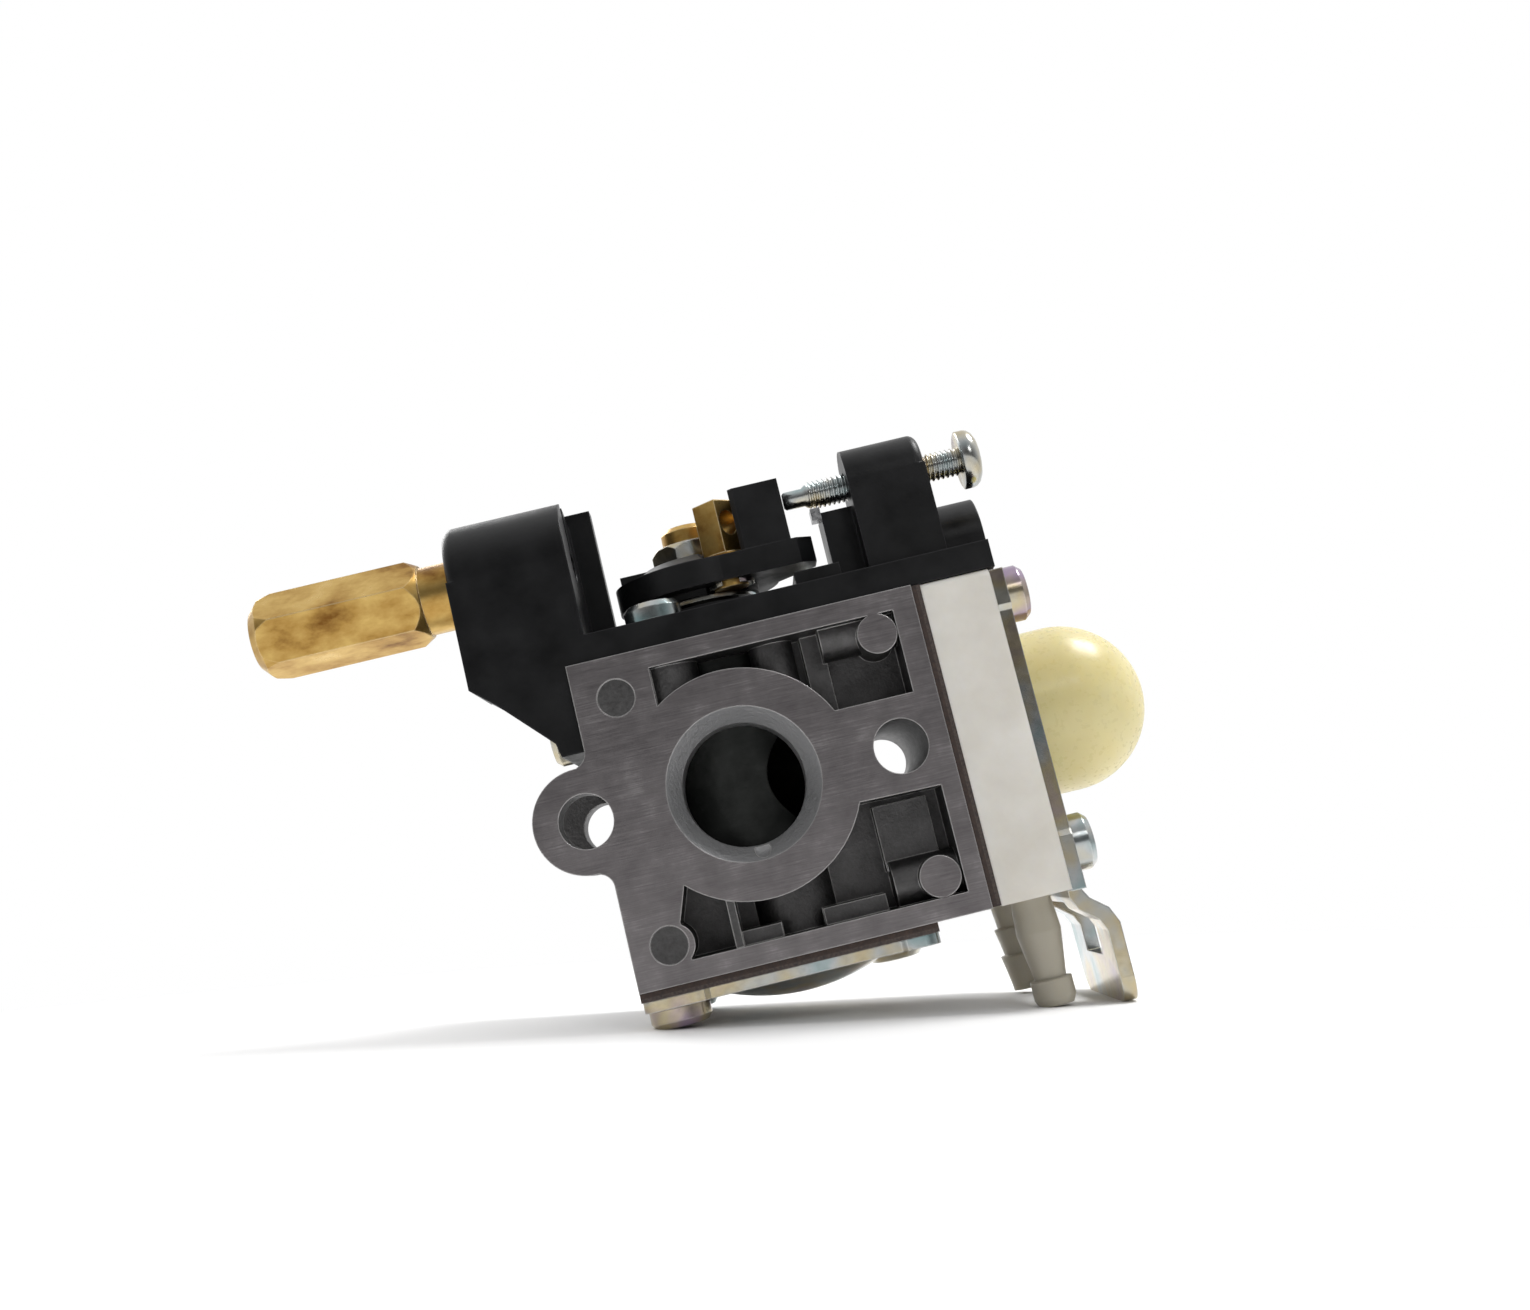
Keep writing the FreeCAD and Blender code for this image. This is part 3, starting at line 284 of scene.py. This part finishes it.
def brass():
    """Turned brass, browned where fingers and fuel have touched it, with a painted highlight along its sharp
    edges.
    """
    s = Shader("brass", Metallic=1.0)
    stain = s.noise((160, 260, 260), 5, 0.6)
    rings = s.noise((5200, 500, 500), 2, 0.6)
    base = s.ramp(
        stain,
        [
            (0.3, (0.20, 0.09, 0.02)),
            (0.43, (0.44, 0.26, 0.07)),
            (0.58, (0.60, 0.40, 0.13)),
            (0.75, (0.72, 0.52, 0.22)),
        ],
    )
    # Painted highlight: sharp edges are mixed towards bright gold, standing in for the glint of light along
    # them.
    base = s.mix(s.edge(), base, (0.92, 0.76, 0.46))
    s.set(s.bsdf, Base_Color=base, Roughness=s.ramp(stain, [(0.3, 0.42), (0.7, 0.24)]))
    s.bump([(rings, 0.18, 0.05 * MM)], radius=0.18 * MM)
    return s.material


def gasket():
    s = Shader("gasket")
    fibre = s.noise(2600, 4, 0.7)
    base = s.ramp(fibre, [(0.3, (0.022, 0.014, 0.012)), (0.7, (0.075, 0.048, 0.038))])
    s.set(s.bsdf, Base_Color=base, Roughness=s.ramp(fibre, [(0.3, 0.6), (0.7, 0.85)]))
    s.bump([(fibre, 0.5, 0.06 * MM)])
    return s.material


def film():
    s = Shader("film")
    weave = s.noise(3800, 2)
    s.set(s.bsdf, Base_Color=s.ramp(weave, [(0.3, (0.03, 0.02, 0.018)), (0.7, (0.09, 0.065, 0.055))]))
    s.set(s.bsdf, Roughness=s.ramp(weave, [(0.3, 0.45), (0.7, 0.65)]))
    s.bump([(weave, 0.3, 0.03 * MM)])
    return s.material


def black_rubber():
    s = Shader("black_rubber")
    grain = s.noise(2400, 3)
    s.set(s.bsdf, Base_Color=s.ramp(grain, [(0.3, (0.015, 0.015, 0.015)), (0.7, (0.035, 0.035, 0.035))]))
    s.set(s.bsdf, Roughness=s.ramp(grain, [(0.3, 0.5), (0.7, 0.7)]))
    s.bump([(grain, 0.2, 0.03 * MM)])
    return s.material


def bulb_rubber():
    """Clear urethane rubber that has gone cream yellow."""
    s = Shader("bulb_rubber", IOR=1.45, Subsurface_Weight=0.7, Subsurface_Scale=3 * MM)
    s.bsdf.inputs["Subsurface Radius"].default_value = (1.0, 0.85, 0.45)
    cloud = s.noise(140, 4)
    fine = s.noise(1600, 3)
    base = s.ramp(cloud, [(0.3, (0.72, 0.60, 0.27)), (0.7, (0.80, 0.69, 0.38))])
    s.set(s.bsdf, Base_Color=base, Roughness=s.ramp(fine, [(0.3, 0.24), (0.7, 0.36)]))
    s.bump([(cloud, 0.15, 0.2 * MM)])
    return s.material


FINISH = {
    "cast_aluminium": cast_aluminium(),
    "barrel_aluminium": turned_aluminium(),
    "black_plastic": black_plastic(),
    "ivory_plastic": ivory_plastic(),
    "zinc_steel": zinc_steel(),
    "spring_steel": spring_steel(),
    "brass": brass(),
    "gasket": gasket(),
    "film": film(),
    "black_rubber": black_rubber(),
    "bulb_rubber": bulb_rubber(),
}


def dress_nodes():
    """Gives each CAD node the finish of its material slot."""
    slots = {entry["node"]: entry["material_slot"] for entry in frame["record"]["subparts"]}
    for name, obj in nodes.items():
        finish = FINISH[slots[name]]
        if not obj.material_slots:
            obj.data.materials.append(finish)
        for material_slot in obj.material_slots:
            material_slot.material = finish


# ---------------------------------------------------------------- detailed pieces


def lathe(name, rings, place, around=64, hollow=False):
    """A mesh turned about X. rings holds (x, radius function of the angle), and place is a point on the axis.
    A hollow piece's last ring joins its first. Any other piece has a cap at each end."""
    builder = bmesh.new()
    angles = [math.tau * k / around for k in range(around)]
    rows = []
    for x, radius in rings:
        spots = [place + Vector((x, radius(a) * math.cos(a), radius(a) * math.sin(a))) for a in angles]
        rows.append([builder.verts.new(spot) for spot in spots])
    following = rows[1:] + rows[:1] if hollow else rows[1:]
    for first, second in zip(rows, following):
        for k in range(around):
            n = (k + 1) % around
            builder.faces.new((first[k], first[n], second[n], second[k]))
    if not hollow:
        builder.faces.new(list(reversed(rows[0])))
        builder.faces.new(rows[-1])
    bmesh.ops.recalc_face_normals(builder, faces=builder.faces)
    mesh = bpy.data.meshes.new(name)
    builder.to_mesh(mesh)
    mesh.shade_smooth()
    obj = bpy.data.objects.new(name, mesh)
    scene.collection.objects.link(obj)
    return obj


def plain(radius):
    """A round ring: the same radius at every angle."""
    return lambda angle: radius


def thread(x, major, minor, pitch):
    """The radius of a 60 degree thread at x, as a function of the angle."""

    def radius(angle):
        turn = (x / pitch + angle / math.tau) % 1.0
        crest = abs(2 * turn - 1)
        return minor + (major - minor) * min(max(1.25 * crest - 0.08, 0.0), 1.0)

    return radius


def idle_screw():
    """An M3 screw with its real thread, a plain tip, and a pan head with a cross recess."""
    low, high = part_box("idle_screw")
    place = Vector((0, (low[1] + high[1]) / 2, (low[2] + high[2]) / 2))
    start, end = low[0], high[0]
    major, minor, pitch, tip = 1.45 * MM, 1.17 * MM, 0.5 * MM, 0.93 * MM
    rings = [(start, plain(0.72 * MM)), (start + 0.22 * MM, plain(tip)), (start + 2.1 * MM, plain(tip))]
    steps = 8  # rings for each turn of the thread
    first, last = start + 2.4 * MM, end - 2.3 * MM
    count = int((last - first) / pitch * steps)
    for k in range(count + 1):
        x = first + (last - first) * k / count
        swell = min(k / steps, 1.0)
        rings.append((x, thread(x, minor + (major - minor) * swell, minor, pitch)))
    rings += [(last + 0.05 * MM, plain(1.2 * MM)), (end - 2.15 * MM, plain(1.45 * MM))]
    rim = 3.0 * MM
    # The pan head's profile: distance back from its top, and share of the rim's radius.
    head = [
        (2.15, 0.93), (2.05, 1.0), (1.2, 1.0), (0.85, 0.965),
        (0.5, 0.87), (0.22, 0.7), (0.05, 0.45), (0.0, 0.2),
    ]
    rings += [(end - back * MM, plain(rim * share)) for back, share in head]
    screw = lathe("idle_screw_threaded", rings, place)
    slot_wide, slot_long, slot_deep = 0.8 * MM, 3.4 * MM, 1.2 * MM
    for wide, tall in ((slot_wide, slot_long), (slot_long, slot_wide)):
        blade = bmesh.new()
        bmesh.ops.create_cube(blade, size=1.0)
        bmesh.ops.scale(blade, vec=(2 * slot_deep, wide, tall), verts=blade.verts)
        bmesh.ops.translate(blade, vec=place + Vector((end, 0, 0)), verts=blade.verts)
        cutter_mesh = bpy.data.meshes.new("blade")
        blade.to_mesh(cutter_mesh)
        cut_away(screw, cutter_mesh)
    screw.data.materials.clear()
    screw.data.materials.append(FINISH["zinc_steel"])
    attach(screw, "idle")
    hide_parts("idle_screw")


def return_spring():
    """The coil in the bracket's collar, as one turned wire with closed ends."""
    low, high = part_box("return_spring")
    centre = (low + high) / 2
    wire = 0.40 * MM
    mean = (high[0] - low[0]) / 2 - 0.43 * MM
    rise = high[2] - low[2] - 2 * wire
    curve = bpy.data.curves.new("return_spring_coil", "CURVE")
    curve.dimensions = "3D"
    curve.bevel_depth = wire
    curve.bevel_resolution = 5
    curve.use_fill_caps = True
    turns, steps = 3.0, 32
    spline = curve.splines.new("POLY")
    count = int(turns * steps) + 1
    spline.points.add(count - 1)
    for k, point in enumerate(spline.points):
        angle = math.tau * k / steps
        height = low[2] + wire + rise * k / (count - 1)
        point.co = (centre[0] + mean * math.cos(angle), centre[1] + mean * math.sin(angle), height, 1)
    coil = bpy.data.objects.new("return_spring_coil", curve)
    scene.collection.objects.link(coil)
    curve.materials.append(FINISH["spring_steel"])
    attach(coil, "housing")
    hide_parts("return_spring")


def cut_away(obj, cutter_mesh):
    """Cuts a closed mesh out of obj, and applies the cut."""
    cutter = bpy.data.objects.new("cutter", cutter_mesh)
    scene.collection.objects.link(cutter)
    modifier = obj.modifiers.new("cut", "BOOLEAN")
    modifier.object = cutter
    modifier.solver = "EXACT"
    bpy.context.view_layer.update()
    result = bpy.data.meshes.new_from_object(obj.evaluated_get(bpy.context.evaluated_depsgraph_get()))
    obj.modifiers.clear()
    obj.data = result
    bpy.data.objects.remove(cutter)


def primer_bulb():
    """The hollow rubber dome, a little fuller than a plain hemisphere, with a rolled foot."""
    low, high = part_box("primer_bulb")
    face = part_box("bulb_retainer")[0][0]
    centre = Vector((0, (low[1] + high[1]) / 2, (low[2] + high[2]) / 2))
    radius, wall, foot, tip = 8.6 * MM, 1.1 * MM, 10.2 * MM, high[0]
    neck = tip - radius
    rings = [(low[0], plain(radius - wall)), (low[0], plain(foot)), (face - 0.08 * MM, plain(foot))]
    rings += [(face, plain(radius)), (face + 1.5 * MM, plain(radius - 0.02 * MM)), (neck, plain(radius))]
    steps = 18
    for k in range(1, steps):
        angle = math.pi / 2 * k / steps
        rings.append((neck + radius * math.sin(angle), plain(radius * math.cos(angle))))
    for k in range(steps - 1, 0, -1):
        angle = math.pi / 2 * k / steps
        rings.append((neck + (radius - wall) * math.sin(angle), plain((radius - wall) * math.cos(angle))))
    rings.append((neck, plain(radius - wall)))
    bulb = lathe("primer_bulb_dome", rings, centre, around=96, hollow=True)
    bulb.data.materials.append(FINISH["bulb_rubber"])
    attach(bulb, "housing")
    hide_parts("primer_bulb")
    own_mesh(bulb)


# ---------------------------------------------------------------- stage


def floor_and_light():
    """A white table under the tilted carburetor, and soft light from the upper right."""
    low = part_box("cover_screws")[0]
    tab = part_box("bulb_retainer")
    left = Vector((low[0] + 2.5 * MM, low[1] + 3 * MM, low[2]))
    right = Vector((tab[1][0] - 0.7 * MM, tab[0][1] + 9 * MM, tab[0][2]))
    along = (right - left).normalized()
    across = Vector((0, 1, 0))
    up = along.cross(across).normalized()
    centre = (left + right) / 2
    mesh = bpy.data.meshes.new("table")
    builder = bmesh.new()
    reach = 2.0  # metres from the middle of the table to each side
    corners = [(-reach, -reach), (reach, -reach), (reach, reach), (-reach, reach)]
    gap = 0.05 * MM  # keeps the table clear of the pieces that stand on it
    builder.faces.new([builder.verts.new(centre + along * u + across * v - up * gap) for u, v in corners])
    builder.to_mesh(mesh)
    table = bpy.data.objects.new("table", mesh)
    scene.collection.objects.link(table)
    mesh.materials.append(table_paint())

    studio()
    area_light("key", spot=(0.30, 0.06, 0.36), target=(0.005, 0.01, 0), width=0.16, power=1.5)
    area_light("front", spot=(0.16, -0.34, 0.20), target=(0.005, 0.01, 0), width=0.10, power=0.15)
    area_light("rim", spot=(-0.16, 0.30, 0.24), target=(0, 0.01, 0), width=0.16, power=0.5)


def studio():
    """A white room that is dim in front of the engine flange, so that the metal keeps its greys."""
    world = bpy.data.worlds.new("studio")
    scene.world = world
    world.use_nodes = True
    tree = world.node_tree
    background = tree.nodes["Background"]
    direction = tree.nodes.new("ShaderNodeTexCoord").outputs["Generated"]
    slope = tree.nodes.new("ShaderNodeVectorMath")
    slope.operation = "DOT_PRODUCT"
    slope.inputs[1].default_value = (0.10, 0.62, 0.48)
    tree.links.new(direction, slope.inputs[0])
    ramp = tree.nodes.new("ShaderNodeValToRGB")
    shift = tree.nodes.new("ShaderNodeMath")
    shift.operation = "ADD"
    shift.inputs[1].default_value = 0.5
    tree.links.new(slope.outputs["Value"], shift.inputs[0])
    tree.links.new(shift.outputs[0], ramp.inputs["Fac"])
    dim_to_bright = ((0.1, 0.13), (0.95, 0.95))
    for element, (position, grey) in zip(ramp.color_ramp.elements, dim_to_bright):
        element.position = position
        element.color = (grey, grey, grey, 1)
    seen = tree.nodes.new("ShaderNodeLightPath")
    mix = tree.nodes.new("ShaderNodeMix")
    mix.data_type = "RGBA"
    mix.inputs[7].default_value = (1, 1, 1, 1)
    tree.links.new(seen.outputs["Is Camera Ray"], mix.inputs[0])
    tree.links.new(ramp.outputs["Color"], mix.inputs[6])
    tree.links.new(mix.outputs[2], background.inputs["Color"])


def table_paint():
    """White, and seen only from above, so that the tilted table never hides the carburetor. It takes shadows
    near the carburetor and fades into the white room away from it."""
    s = Shader("table_paint", Roughness=0.7)
    s.set(s.bsdf, Base_Color=s.ramp(s.noise(30, 2), [(0.3, 0.93), (0.7, 0.95)]))
    glow = s.set(s.add("ShaderNodeEmission"), Color=(1, 1, 1, 1), Strength=1.0)
    length = s.add("ShaderNodeVectorMath", operation="LENGTH")
    s.tree.links.new(s.place, length.inputs[0])
    fade_start, fade_rate = 0.06, 12.0
    past = s.math("SUBTRACT", length.outputs["Value"], fade_start)
    far = s.math("MULTIPLY", past, fade_rate, clamp=True)
    shade = s.add("ShaderNodeMixShader")
    s.tree.links.new(far, shade.inputs[0])
    s.tree.links.new(s.bsdf.outputs[0], shade.inputs[1])
    s.tree.links.new(glow.outputs[0], shade.inputs[2])
    clear = s.add("ShaderNodeBsdfTransparent")
    side = s.add("ShaderNodeNewGeometry").outputs["Backfacing"]
    mixer = s.add("ShaderNodeMixShader")
    s.tree.links.new(side, mixer.inputs[0])
    s.tree.links.new(shade.outputs[0], mixer.inputs[1])
    s.tree.links.new(clear.outputs[0], mixer.inputs[2])
    s.tree.links.new(mixer.outputs[0], s.tree.nodes["Material Output"].inputs["Surface"])
    return s.material


def area_light(name, spot, target, width, power):
    """A square light of width metres at spot, turned towards target, with power in watts."""
    data = bpy.data.lights.new(name, "AREA")
    data.size = width
    data.energy = power
    lamp = bpy.data.objects.new(name, data)
    scene.collection.objects.link(lamp)
    lamp.location = spot
    lamp.rotation_euler = (Vector(target) - Vector(spot)).to_track_quat("-Z", "Y").to_euler()


def camera():
    """Square on to the engine flange, rolled because the carburetor lies tilted on the table."""
    data = bpy.data.cameras.new("camera")
    data.sensor_width = 36
    data.lens = 38.1
    data.clip_start = 0.01
    eye = bpy.data.objects.new("camera", data)
    scene.collection.objects.link(eye)
    spot = (0.0003, -0.1552, -0.0085)
    right = Vector((0.9724, 0.0018, -0.2334))
    back = Vector((-0.029, -0.9913, -0.1284)).normalized()
    up = back.cross(right).normalized()
    right = up.cross(back)
    turn = Matrix((right, up, back)).transposed()
    eye.matrix_world = Matrix.Translation(spot) @ turn.to_4x4()
    scene.camera = eye


dress_nodes()
idle_screw()
return_spring()
primer_bulb()
floor_and_light()
camera()
scene.view_settings.view_transform = "Standard"
